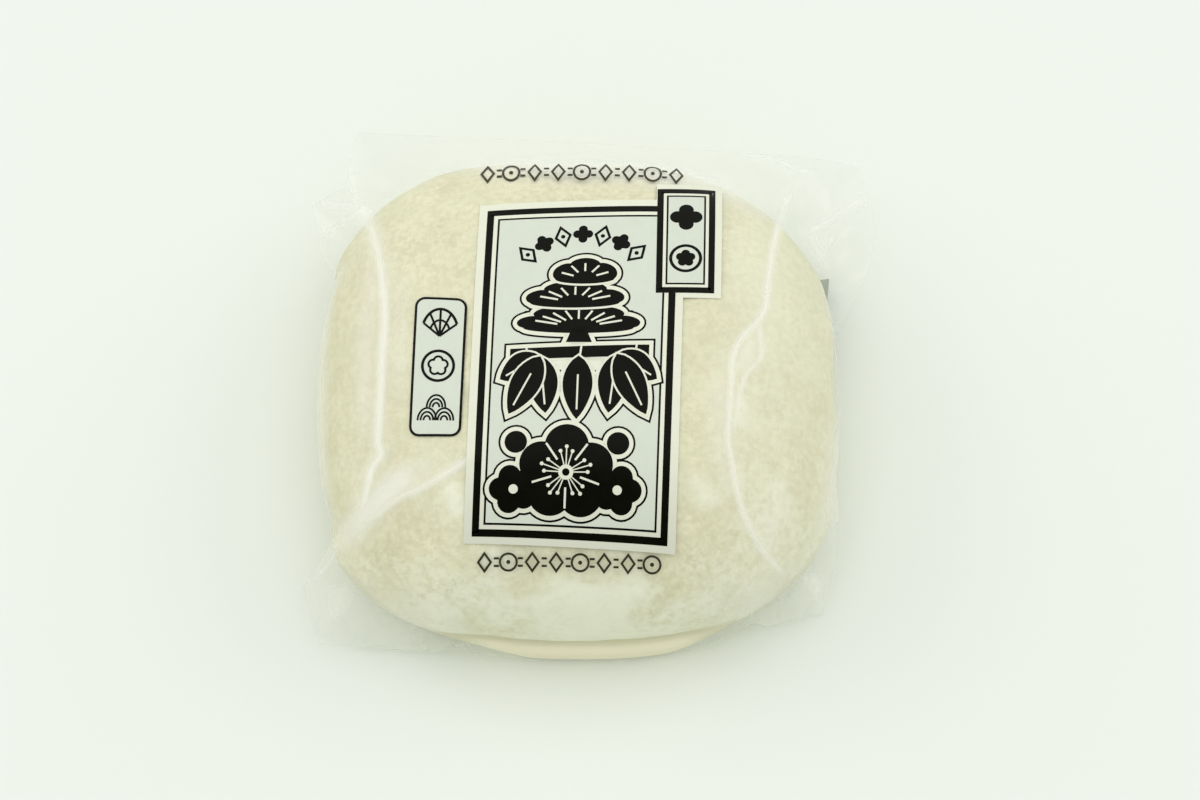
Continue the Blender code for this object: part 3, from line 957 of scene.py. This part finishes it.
class RiceCake(bpy.types.Operator):
    """The soft rice cake: a low dome pressed by the film, creased above its smooth front lip"""

    bl_idname = "daifuku.rice_cake"
    bl_label = "Rice cake"

    spokes = 450
    dome_rings = 140
    under_rings = 48
    base_rings = 6
    base_level = 0.45
    body_in = 1.0
    base_window = (math.radians(275), math.radians(13), math.radians(27))
    lip_window = (math.radians(272), math.radians(20), math.radians(20))
    lip_base_share = 0.982
    lip_out = 0.3
    crease_height = 5.9
    crease_depth = 0.8
    crease_width = 1.0
    clearance = 0.10
    crease_flour_and_highlight_share = 0.92

    def execute(self, context):
        sizes = context.scene.daifuku_sizes
        film = TautFilm(sizes)
        lump = sizes.lump_height / MM
        angles = np.arange(self.spokes) * TURN / self.spokes
        across, along = np.cos(angles), np.sin(angles)
        reach = film.at("reach", angles)
        sagged = angle_window(angles, *self.base_window)
        foot = angle_window(angles, *self.lip_window)
        turns, spread = np.array(FULLNESS).T
        spread = np.interp(angles, np.radians(turns), spread, period=TURN)
        widest = np.minimum(film.cake_reach(angles) + spread, reach - 0.2)
        slack = smooth_step((reach - film.at("hug", angles)) / 1.2)
        body = widest - self.body_in * foot
        base = widest * (BASE_SHARE + (self.lip_base_share - BASE_SHARE) * sagged)
        rise = sizes.cake_height / MM - WIDEST_HEIGHT
        rings = []
        lips = []

        def ring(radius, z, out, height, lip):
            """A ring with the cake's lumps, up near the top and outwards near the widest line,
            kept between the film's two sheets."""
            z = np.full(self.spokes, z)
            points = np.stack([radius * across, radius * along, z], axis=1)
            bumps = soft_noise(points, 11.0, 5) + 0.45 * soft_noise(points, 4.5, 6)
            bumps = np.minimum(height * bumps, 0.04)
            radius = radius + np.minimum(bumps, 0) * out
            x, y = radius * across, radius * along
            highest = np.minimum(film.plain_top(x, y), film.top(x, y)) - self.clearance
            lowest = np.minimum(film.under(x, y), film.at("height", angles)) + self.clearance
            z = np.maximum(np.minimum(z + bumps * (1 - out), highest), slack * lowest)
            rings.append(np.stack([x, y, z], axis=1))
            lips.append(lip)

        none = np.zeros(self.spokes)
        for k in range(1, self.dome_rings + 1):
            share = math.sin(math.pi / 2 * k / self.dome_rings) ** (2 / DOME_POWER)
            z = WIDEST_HEIGHT + rise * max(0.0, 1 - share**DOME_POWER) ** (1 / DOME_POWER)
            ring(body * share, z, share**2, lump, none)
        for k in range(1, self.under_rings + 1):
            turn = math.pi / 2 * (1 - k / self.under_rings)
            z = self.base_level + (WIDEST_HEIGHT - self.base_level) * (1 - math.cos(turn))
            below = smooth_step((self.crease_height + 0.55 - z) / 1.1)
            crease = math.exp(-(((z - self.crease_height) / self.crease_width) ** 2))
            bulge = below * math.sin(math.pi * min(1.0, z / self.crease_height)) ** 0.6
            moved = self.lip_out * bulge - self.crease_depth * crease - self.body_in * (1 - below)
            radius = base + (widest - base) * math.sin(turn) + foot * moved
            radius = np.minimum(radius, film.under_reach(z, angles) - self.clearance)
            ring(radius, z, 1.0, lump * (1 - 0.8 * foot * below), foot * below)
        for k in range(1, self.base_rings):
            inner = base * (1 - k / self.base_rings)
            level = np.full(self.spokes, self.base_level)
            rings.append(np.stack([inner * across, inner * along, level], axis=1))
            lips.append(none)
        top = rings[0][:, 2].mean()
        vertices, faces = polar_skin(rings, (0, 0, top), (0, 0, self.base_level))
        material = rice_material(context.scene.daifuku_colours)
        piece = new_piece("rice_cake", vertices, faces, material)
        x, y, z = vertices.T
        above = smooth_step((z - 5.0) / 4.0)
        point_attribute(piece, "lip", np.concatenate([[0], *lips, [0]]))
        # flour along the film's creases, with their painted highlight
        point_attribute(piece, "crease_flour_and_highlight", self.crease_flour_and_highlight_share * above * film.whiteness(x, y))
        point_attribute(piece, "damp", above * soft_bands(DAMP_PATCHES, x, y))
        point_attribute(piece, "snow", above * soft_bands(FLOUR_PATCHES, x, y))
        return {"FINISHED"}


class ClearFilm(bpy.types.Operator):
    """The clear film: taut over the cake, creased over its shoulders, with pressed slack edges"""

    bl_idname = "daifuku.clear_film"
    bl_label = "Clear film"

    spokes = 690
    dome_rings = 112
    under_rings = 20
    base_rings = 5
    rim_white = 0.16
    white_share = 0.45
    loose_white = 0.30

    def execute(self, context):
        film = TautFilm(context.scene.daifuku_sizes)
        angles = spoke_angles(self.spokes)
        section = film.sections(angles)
        reach, hug, base = (section[name] for name in ("reach", "hug", "base"))
        across, along = np.cos(angles), np.sin(angles)
        none = np.zeros(self.spokes)
        rings = []
        whites = []

        def ring(radius, height, white=none):
            """A ring of the film; its height is a number or a function of the plan."""
            x, y = radius * across, radius * along
            z = height(x, y) if callable(height) else height + none
            rings.append(np.stack([x, y, z], axis=1))
            whites.append(white)

        for k in range(1, self.dome_rings):
            radius = reach * math.sin(math.pi / 2 * k / self.dome_rings) ** (2 / DOME_POWER)
            # whiteness of creases and bands: partly the film's own, partly a painted highlight
            share = self.white_share + self.loose_white * smooth_step((radius - hug) / 2)
            ring(radius, film.top, share * film.whiteness(radius * across, radius * along))
        edge = smooth_step((reach - hug) / 1.5)
        for out, down in ((0.0, 0.0), (0.06, PRESSED_EDGE / 2), (0.0, PRESSED_EDGE)):
            ring(reach + out * edge, section["height"] - down, self.rim_white * edge)
        for k in range(1, self.under_rings + 1):
            turn = math.pi / 2 * (1 - k / self.under_rings)
            ring(base + (reach - base) * math.sin(turn), film.under)
        for k in range(1, self.base_rings):
            ring(base * (1 - k / self.base_rings), BASE_LEVEL)
        crown = film.top(np.zeros(1), np.zeros(1))[0]
        vertices, faces = polar_skin(rings, (0, 0, crown), (0, 0, BASE_LEVEL))
        material = film_material("clear_film", context.scene.daifuku_colours, 0.002)
        piece = new_piece("clear_film", vertices, faces, material)
        point_attribute(piece, "crease", np.concatenate([[0], *whites, [0]]))
        x, y, _ = vertices.T
        radius, reach, hug, meets = film.around(x, y, "reach", "hug", "meets_dome")
        slack = smooth_step((radius - meets) / 2.0) * smooth_step((reach - hug) / 4.0)
        point_attribute(piece, "loose", slack * (1 - smooth_step(film.relief(x, y)[1] / 0.25)))
        return {"FINISHED"}


class WhitePrint(bpy.types.Operator):
    """The white fields under the frames, and the white lines and rims of the motifs"""

    bl_idname = "daifuku.white_print"
    bl_label = "White print"

    rim = 0.55

    def execute(self, context):
        run = film_print(context)
        run.fill(polygon([(-14.1, -24.4), (14.1, -24.4), (14.0, 24.6), (-14.1, 24.6)], 0.8), 0)
        run.fill(polygon([(-3.9, -9.1), (4.7, -9.1), (4.7, 9.3), (-3.9, 9.3)]), 0, SIDE_PANEL)
        run.fill(rectangle(3.8, 8.4), 3, SIDE_PANEL)
        clouds, needles = pine()
        for k, shape in enumerate(clouds):
            run.fill(offset(shape, self.rim), 3)
            if k > 1:
                run.fill(offset(shape, 0.3), 2 * k + 1)
        for k, fan in enumerate(needles):
            for needle in fan:
                run.stroke(needle, 0.26, 5 + 2 * k)
        cane, knots, leaves = bamboo()
        run.fill(offset(cane, self.rim), 3)
        run.fill(rectangle(5.2, 0.9, (0.4, -0.1)), 3)
        for knot in knots:
            run.stroke(knot, 0.26, 5)
        for k, shape in enumerate(leaves):
            raised = 2 * (k % 3 == 2)
            run.fill(offset(shape, self.rim), 3)
            run.fill(offset(shape, 0.25), 5 + raised)
            root, vein = shape[0], shape[14] - shape[0]
            run.stroke([root + 0.3 * vein, root + 0.85 * vein], 0.24, 7 + raised)
        blossom, small, buds = plum()
        for shape in (blossom, *small, *buds):
            run.fill(offset(shape, self.rim), 3)
        middle = BLOSSOM_MIDDLE
        run.fill(round_outline(1.0, middle), 6)
        for k in range(5):
            notch = direction(math.pi / 2 + (k + 0.5) * TURN / 5)
            run.stroke([middle + 2.0 * notch, middle + 4.7 * notch], 0.28, 5)
            for lean in (-0.28, 0, 0.28):
                stamen = direction(math.pi / 2 + k * TURN / 5 + lean)
                tip = middle + (2.9 if lean else 3.4) * stamen
                run.stroke([middle + stamen, tip], 0.16, 5)
                run.fill(round_outline(0.26, tip, 12), 6)
        for shape in small:
            run.fill(round_outline(0.62, shape.mean(axis=0)), 5)
        white = context.scene.daifuku_colours.print_white
        run.piece("white_print", "white_print", ink_material("white_ink", white, 0.5, 0.02, 0.16))
        return {"FINISHED"}


class TintPrint(bpy.types.Operator):
    """The pale tinted fields inside the frames"""

    bl_idname = "daifuku.tint_print"
    bl_label = "Tinted print"

    def execute(self, context):
        run = film_print(context)
        run.fill(rectangle(11.4, 21.9, spacing=0.8), 1)
        run.fill(rectangle(2.45, 7.05), 4, SIDE_PANEL)
        run.fill(round_rectangle(3.4, 9.7, 1.2), 1, LEFT_PANEL)
        tint = context.scene.daifuku_colours.print_tint
        run.piece("tint_print", "white_print", ink_material("tinted_ink", tint, 0.5, 0.02, 0.07))
        return {"FINISHED"}


class BlackPrint(bpy.types.Operator):
    """The black frames and motifs"""

    bl_idname = "daifuku.black_print"
    bl_label = "Black print"

    outline = 0.82

    def execute(self, context):
        run = film_print(context)
        run.add(frame_band(rectangle(13.0, 23.5), 0.95), MAIN_PANEL, 2)
        run.line(rectangle(11.35, 21.85), 0.27, 2)
        run.add(frame_band(rectangle(3.8, 8.4), 0.83), SIDE_PANEL, 4)
        run.line(rectangle(2.45, 7.05), 0.24, 5, SIDE_PANEL)
        run.line(round_rectangle(3.33, 9.63, 1.2), 0.34, 2, LEFT_PANEL)

        clouds, _ = pine()
        for k, shape in enumerate(clouds):
            run.fill(offset(shape, self.outline), 2)
            run.fill(shape, 4 + 2 * max(0, k - 1))
        cane, _, leaves = bamboo()
        run.fill(offset(cane, self.outline), 2)
        run.fill(cane, 4)
        for k, shape in enumerate(leaves):
            run.fill(offset(shape, self.outline), 2)
            run.fill(shape, 6 + 2 * (k % 3 == 2))
        blossom, small, buds = plum()
        for shape in (blossom, *small, *buds):
            run.fill(offset(shape, self.outline), 2)
            run.fill(shape, 4)
        run.fill(round_outline(0.5, BLOSSOM_MIDDLE, 16), 7)
        self.arc_motifs(run)
        self.side_motifs(run)
        self.left_motifs(run)
        black = context.scene.daifuku_colours.ink
        run.piece("black_print", "black_print", ink_material("black_ink", black, 0.2, 0.001))
        return {"FINISHED"}

    def arc_motifs(self, run):
        """Lozenges and small blossoms in turn, in an arc over the pine."""
        for k in range(7):
            angle = math.radians(90 + 15 * (k - 3))
            out = direction(angle)
            middle = 10.4 * out + (0.2, 8.6)
            if k % 2:
                run.fill(round_outline(petals(4, 0.75, 0.62, angle), middle, 32), 2)
            else:
                side = np.array((-out[1], out[0]))
                lozenge = [middle - 1.5 * out, middle + side, middle + 1.5 * out, middle - side]
                run.line(polygon(lozenge), 0.36, 2)
                run.fill(round_outline(0.3, middle, 12), 2)

    def side_motifs(self, run):
        """A blossom and a ringed blossom in the small label."""
        run.fill(round_outline(petals(4, 1.15, 0.98), (0, 3.4), 48), 5, SIDE_PANEL)
        run.line(round_outline(1.95, (0, -3.2), 36), 0.42, 5, SIDE_PANEL)
        run.fill(round_outline(petals(5, 0.72, 0.58, math.pi / 2), (0, -3.2), 40), 5, SIDE_PANEL)

    def left_motifs(self, run):
        """A folding fan, a ringed blossom and waves, in line, down the left label."""
        spread = np.radians(np.linspace(25, 155, 14))
        hinge = np.array((0, 4.5))
        rim = np.stack([3.3 * np.cos(spread) * 0.75, 3.6 * np.sin(spread)], axis=1) + hinge
        run.stroke(rim, 0.38, 3, LEFT_PANEL)
        run.stroke(hinge + 0.55 * (rim - hinge), 0.3, 3, LEFT_PANEL)
        for k in (0, 3, 6.5, 10, 13):
            tip = (rim[math.floor(k)] + rim[math.ceil(k)]) / 2
            run.stroke([hinge - (0, 0.3), tip], 0.3, 4, LEFT_PANEL)
        run.line(round_outline(2.1, (0, 0), 40), 0.38, 3, LEFT_PANEL)
        run.line(round_outline(petals(5, 0.72, 0.6, math.pi / 2), (0, 0), 40), 0.3, 3, LEFT_PANEL)
        turns = np.radians(np.linspace(0, 180, 10))
        for centre in ((-1.15, -7.6), (1.15, -7.6), (0, -5.8)):
            for radius in (0.45, 0.85, 1.25):
                arc = np.stack([radius * np.cos(turns), 1.35 * radius * np.sin(turns)], axis=1)
                run.stroke(arc + centre, 0.26, 3, LEFT_PANEL, 0.3)


class LinePrint(bpy.types.Operator):
    """The two thin rows of lozenges, rings and dashes above and below the panel"""

    bl_idname = "daifuku.line_print"
    bl_label = "Thin rows"

    width = 0.30

    def execute(self, context):
        run = film_print(context)
        for place, half_width, number in ((UPPER_ROW, 14.0, 9), (LOWER_ROW, 12.2, 8)):
            step = 2 * half_width / (number - 0.35)
            for k in range(number):
                x = -half_width + 1.0 + k * step
                if k % 3 == 1:
                    run.line(round_outline(1.12, (x, 0), 28), self.width, 1, place)
                    run.fill(round_outline(0.28, (x, 0), 12), 1, place)
                else:
                    lozenge = polygon([(x - 1.05, 0), (x, -1.45), (x + 1.05, 0), (x, 1.45)])
                    run.line(offset(lozenge, -0.16), self.width, 1, place)
                if k < number - 1:
                    for y in (-0.5, 0.5):
                        dash = [(x + step / 2 - 0.35, y), (x + step / 2 + 0.35, y)]
                        run.stroke(dash, self.width, 1, place)
        ink = context.scene.daifuku_colours.line_ink
        run.piece("line_print", "black_print", ink_material("line_ink", ink, 0.4, 0.01))
        return {"FINISHED"}


class BackPrint(bpy.types.Operator):
    """The grey block printed on the underside, of which one corner shows through the right ear"""

    bl_idname = "daifuku.back_print"
    bl_label = "Back print"

    block = polygon([(-21.0, -14.0), (31.5, -14.0), (34.9, 20.3), (-21.0, 20.3)], 0.8)
    step = -0.012

    def execute(self, context):
        colours = context.scene.daifuku_colours
        film = TautFilm(context.scene.daifuku_sizes)

        def level(x, y):
            return film.under(x, y) + 0.10

        def flat(points):
            return points

        ground = PrintRun(level, self.step)
        ground.fill(self.block, 0, flat)
        grey = ink_material("grey_ink", colours.label_grey, 0.5, 0.03)
        ground.piece("back_block", "black_print", grey)
        lines = PrintRun(level, self.step)
        lines.add(frame_band(self.block, 0.4), flat, 1)
        lines.line(offset(self.block, -1.6), 0.25, 1, flat)
        for k in range(5):
            centre = (-13.0 + 9.5 * k, 3.0)
            lines.line(round_outline(3.2, centre, 40), 0.35, 1, flat)
            lines.fill(round_outline(petals(5, 1.25, 1.0, math.pi / 2), centre, 50), 1, flat)
        dark = ink_material("dark_grey_ink", colours.label_line, 0.5, 0.02)
        lines.piece("back_lines", "black_print", dark)
        return {"FINISHED"}


class Seals(bpy.types.Operator):
    """The ribbed seam along the underside, and the ends folded flat under the cake"""

    bl_idname = "daifuku.seals"
    bl_label = "Seals"

    seam_half_length = 18.3
    seam_front = -6.5
    seam_width = 8.0
    rib_spacing = 1.1
    rib_height = 0.03
    sheet = 0.03

    def execute(self, context):
        film = TautFilm(context.scene.daifuku_sizes)
        material = film_material("sealed_film", context.scene.daifuku_colours, 0.10)
        along = np.linspace(-self.seam_half_length, self.seam_half_length, 270)
        across = self.seam_front + self.seam_width * np.linspace(0, 1, 9)
        x, y = np.meshgrid(along, across)
        ribs = self.rib_height * np.cos(x * TURN / self.rib_spacing)
        self.slab("back_seam", x, y, film.under(x, y) - 0.22 + ribs, material)
        for name, side in (("left_end_fold", -1), ("right_end_fold", 1)):
            u, v = np.meshgrid(np.linspace(0, 1, 40), np.linspace(-1, 1, 60))
            x = side * (31.5 - 13.0 * u)
            y = v * (17.0 - 8.5 * u)
            self.slab(name, x, y, film.under(x, y) - 0.10, material)
        return {"FINISHED"}

    def slab(self, name, x, y, top, material):
        """A closed sheet of film over a grid of plan points, its upper side at these heights."""
        rows, columns = x.shape
        index = np.arange(rows * columns).reshape(rows, columns)
        upper = [index[:-1, :-1], index[:-1, 1:], index[1:, 1:], index[1:, :-1]]
        upper = np.stack(upper, axis=-1).reshape(-1, 4)
        rim = np.concatenate([index[0], index[1:, -1], index[-1, -2::-1], index[-2:0:-1, 0]])
        ahead = np.roll(rim, -1)
        below = rows * columns
        walls = np.stack([rim, rim + below, ahead + below, ahead], axis=-1)
        faces = np.concatenate([upper, upper[:, ::-1] + below, walls]).tolist()
        plan = np.column_stack([x.ravel(), y.ravel()])
        vertices = np.concatenate([np.column_stack([plan, top.ravel()]),
                                   np.column_stack([plan, top.ravel() - self.sheet])])
        piece = new_piece(name, vertices, faces, material)
        edge = np.ones_like(x)
        edge[1:-1, 1:-1] = 0
        point_attribute(piece, "crease", np.tile(0.25 * edge.ravel(), 2))


class Stage(bpy.types.Operator):
    """The pale floor, soft studio lights and the camera at the photograph's angle"""

    bl_idname = "daifuku.stage"
    bl_label = "Stage"

    camera_place = (2.98, -169.55, 532.59)
    camera_lens = 121.13
    camera_tip = math.radians(18)
    tent_front = -0.03
    tent_back = 0.05
    tent_glow = 0.8
    tent_dark = 0.03
    tent_fill = 0.70

    def execute(self, context):
        scene = context.scene
        scene.view_settings.view_transform = "Standard"
        self.floor(scene)
        self.lights(scene)
        self.camera(scene)
        return {"FINISHED"}

    def floor(self, scene):
        mesh = bpy.data.meshes.new("floor")
        edge = 3.0
        corners = [(-edge, -edge, 0), (edge, -edge, 0), (edge, edge, 0), (-edge, edge, 0)]
        mesh.from_pydata(corners, [], [(0, 1, 2, 3)])
        floor = bpy.data.objects.new("floor", mesh)
        scene.collection.objects.link(floor)
        look = Look("pale_floor")
        look.plain(opaque(scene.daifuku_colours.floor), 0.9, 0.1)
        mesh.materials.append(look.material)

    def lights(self, scene):
        world = bpy.data.worlds.new("studio")
        world.use_nodes = True
        tree = world.node_tree
        apart = add_node(tree, "SeparateXYZ", add_node(tree, "TexCoord").outputs["Generated"])
        tent = Value(apart.outputs["Y"]).band(self.tent_front, self.tent_back)
        tent = tent * self.tent_glow + self.tent_dark
        mirrored = add_node(tree, "LightPath").outputs["Is Glossy Ray"]
        seen = add_node(tree, "Mix", mirrored, None, self.tent_fill, tent).outputs[0]
        back = tree.nodes["Background"]
        back.inputs["Color"].default_value = (0.948, 0.979, 0.941, 1.0)
        tree.links.new(seen, back.inputs["Strength"])
        scene.world = world
        for name, place, wide, tall, radiance, shines in (
            ("top_softbox", (0.0, 0.17, 1.25), 1.6, 1.4, 0.63, False),
            ("front_softbox", (0.0, -1.05, 0.62), 1.6, 0.8, 0.15, False),
            ("left_softbox", (-0.95, 0.40, 0.62), 0.9, 0.6, 1.70, True),
            ("right_softbox", (0.95, 0.40, 0.62), 0.9, 0.6, 1.50, True),
        ):
            light = bpy.data.lights.new(name, "AREA")
            light.shape = "RECTANGLE"
            light.size = wide
            light.size_y = tall
            light.energy = 1.10 * radiance * math.pi * wide * tall
            light.color = (0.955, 0.90, 1.0)
            lamp = bpy.data.objects.new(name, light)
            lamp.location = place
            lamp.rotation_euler = (-lamp.location).to_track_quat("-Z", "Y").to_euler()
            lamp.visible_camera = False
            lamp.visible_glossy = shines
            scene.collection.objects.link(lamp)

    def camera(self, scene):
        data = bpy.data.cameras.new("photo_camera")
        data.lens = self.camera_lens
        data.sensor_width = 36.0
        data.clip_start = 0.01
        camera = bpy.data.objects.new("photo_camera", data)
        camera.location = [v * MM for v in self.camera_place]
        camera.rotation_euler = (self.camera_tip, 0, 0)
        scene.collection.objects.link(camera)
        scene.camera = camera


class DaifukuPanel(bpy.types.Panel):
    """The pieces of the sweet, in the order they are made"""

    bl_idname = "VIEW3D_PT_daifuku"
    bl_label = "Wrapped daifuku"
    bl_space_type = "VIEW_3D"
    bl_region_type = "UI"
    bl_category = "Daifuku"

    def draw(self, context):
        for operator in OPERATORS:
            self.layout.operator(operator.bl_idname)


OPERATORS = (
    RiceCake, ClearFilm, Seals, WhitePrint, TintPrint, BlackPrint, LinePrint, BackPrint, Stage)
CLASSES = (DaifukuSizes, DaifukuColours, *OPERATORS, DaifukuPanel)


def register():
    for item in CLASSES:
        bpy.utils.register_class(item)
    bpy.types.Scene.daifuku_sizes = bpy.props.PointerProperty(type=DaifukuSizes)
    bpy.types.Scene.daifuku_colours = bpy.props.PointerProperty(type=DaifukuColours)


def unregister():
    del bpy.types.Scene.daifuku_colours
    del bpy.types.Scene.daifuku_sizes
    for item in reversed(CLASSES):
        bpy.utils.unregister_class(item)


def main():
    register()
    bpy.ops.daifuku.rice_cake()
    bpy.ops.daifuku.clear_film()
    bpy.ops.daifuku.seals()
    bpy.ops.daifuku.white_print()
    bpy.ops.daifuku.tint_print()
    bpy.ops.daifuku.black_print()
    bpy.ops.daifuku.line_print()
    bpy.ops.daifuku.back_print()
    bpy.ops.daifuku.stage()


if __name__ == "__main__":
    main()
